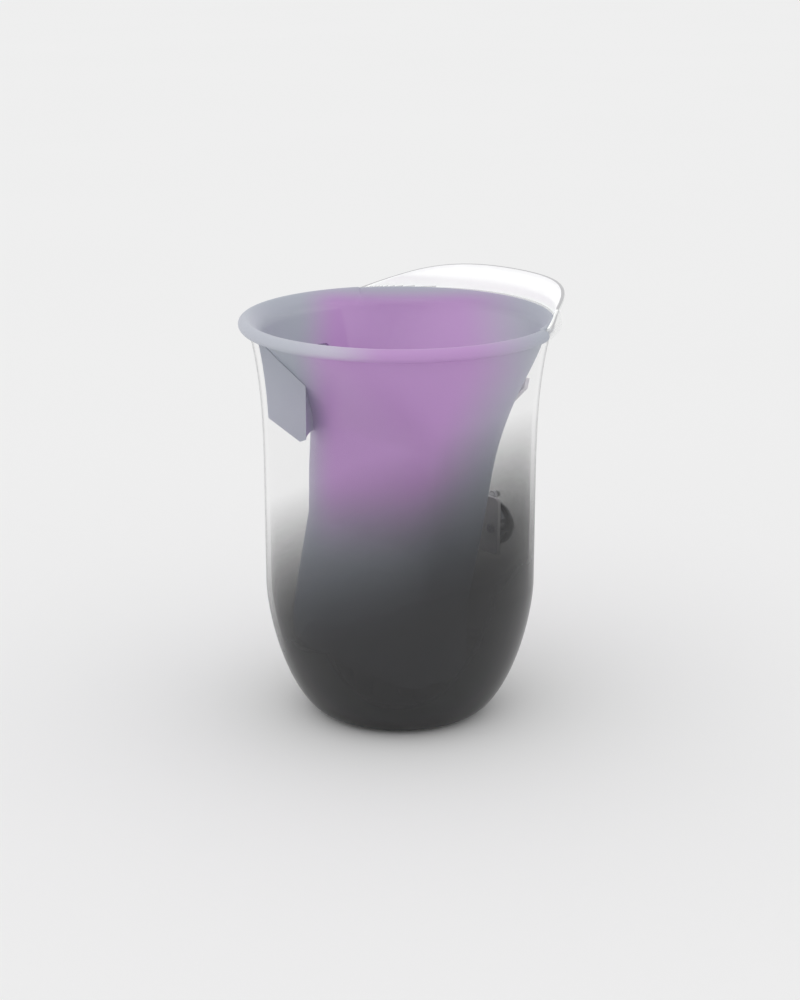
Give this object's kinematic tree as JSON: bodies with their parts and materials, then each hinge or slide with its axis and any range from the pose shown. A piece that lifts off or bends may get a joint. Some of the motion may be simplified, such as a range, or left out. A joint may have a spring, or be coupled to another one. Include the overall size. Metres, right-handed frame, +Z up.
{
  "type": "ultraviolet phone sanitizer cup",
  "caption": "See-through tulip-shaped cup with a flared inner pocket that holds a leaning phone, an ultraviolet lamp pod under its lip, a charging coil and a push button.",
  "frame": {"origin": "middle of the foot ring's face on the table", "axes": "+Z up, +Y towards the back, where the crest, the button and the charging socket are, +X to the right seen from the front"},
  "size_m": [0.1306, 0.1347, 0.1785],
  "materials": {
    "smoke_shell": "glossy see-through plastic, smoked at the foot and clear at the rim",
    "satin_cup": "satin frosted plastic",
    "milky_cover": "milky frosted plastic",
    "dark_silicone": "matte silicone rubber",
    "clear_silicone": "soft matte silicone",
    "black_plastic": "fine matte texture",
    "grey_plastic": "moulded matte plastic",
    "ivory_plastic": "matte plastic",
    "clear_plastic": "clear polished plastic",
    "screw_steel": "zinc plated",
    "plate_steel": "rolled, zinc plated",
    "bezel_metal": "anodised grey",
    "can_aluminium": "bare satin",
    "circuit_board": "solder mask",
    "white_mask": "white solder mask on glass fibre",
    "white_board": "white solder mask on an aluminium core",
    "ferrite": "dull sintered ferrite",
    "copper_wire": "enamelled copper wire",
    "quartz": "polished quartz",
    "emitter": "gold-plated ceramic",
    "wire_sheath": "matte white sheath"
  },
  "bodies": {
    "vessel": {"outer_shell": "smoke_shell", "inner_cup": "satin_cup", "rim_seal": "clear_silicone", "bottom_cover": "black_plastic", "foot_ring": "dark_silicone", "cover_screws": "screw_steel", "chassis": "grey_plastic", "ballast_plate": "plate_steel", "pocket_base": "grey_plastic", "cup_screws": "screw_steel", "main_board": "circuit_board", "board_screws": "screw_steel", "control_chips": "black_plastic", "power_coil": "ferrite", "capacitors": "can_aluminium", "board_connectors": "ivory_plastic", "usb_socket": "screw_steel", "usb_bezel": "black_plastic", "switch_board": "white_mask", "switch_board_screws": "screw_steel", "switch_housing": "ivory_plastic", "button_bezel": "bezel_metal", "status_led": "ivory_plastic", "light_pipe": "clear_plastic", "lamp_housing": "satin_cup", "lamp_window": "quartz", "window_gasket": "clear_silicone", "lamp_reflector": "can_aluminium", "uv_emitters": "emitter", "lamp_board": "white_board", "heat_spreader": "can_aluminium", "lamp_screws": "screw_steel", "coil_tray": "grey_plastic", "charging_coil": "copper_wire", "ferrite_plate": "ferrite", "coil_cover": "milky_cover", "coil_screws": "screw_steel", "rest_pad": "clear_silicone", "floor_pad": "clear_silicone", "lamp_cable": "wire_sheath", "coil_cable": "wire_sheath", "switch_cable": "wire_sheath"},
    "button": {"button_cap": "grey_plastic", "switch_plunger": "ivory_plastic", "switch_stem": "ivory_plastic"}
  },
  "joints": [
    {"name": "button_press", "type": "slide", "parent": "vessel", "child": "button", "axis": [0, -1, 0], "range_m": [0, 0.0008], "stiffness_N_per_m": 1500}
  ]
}
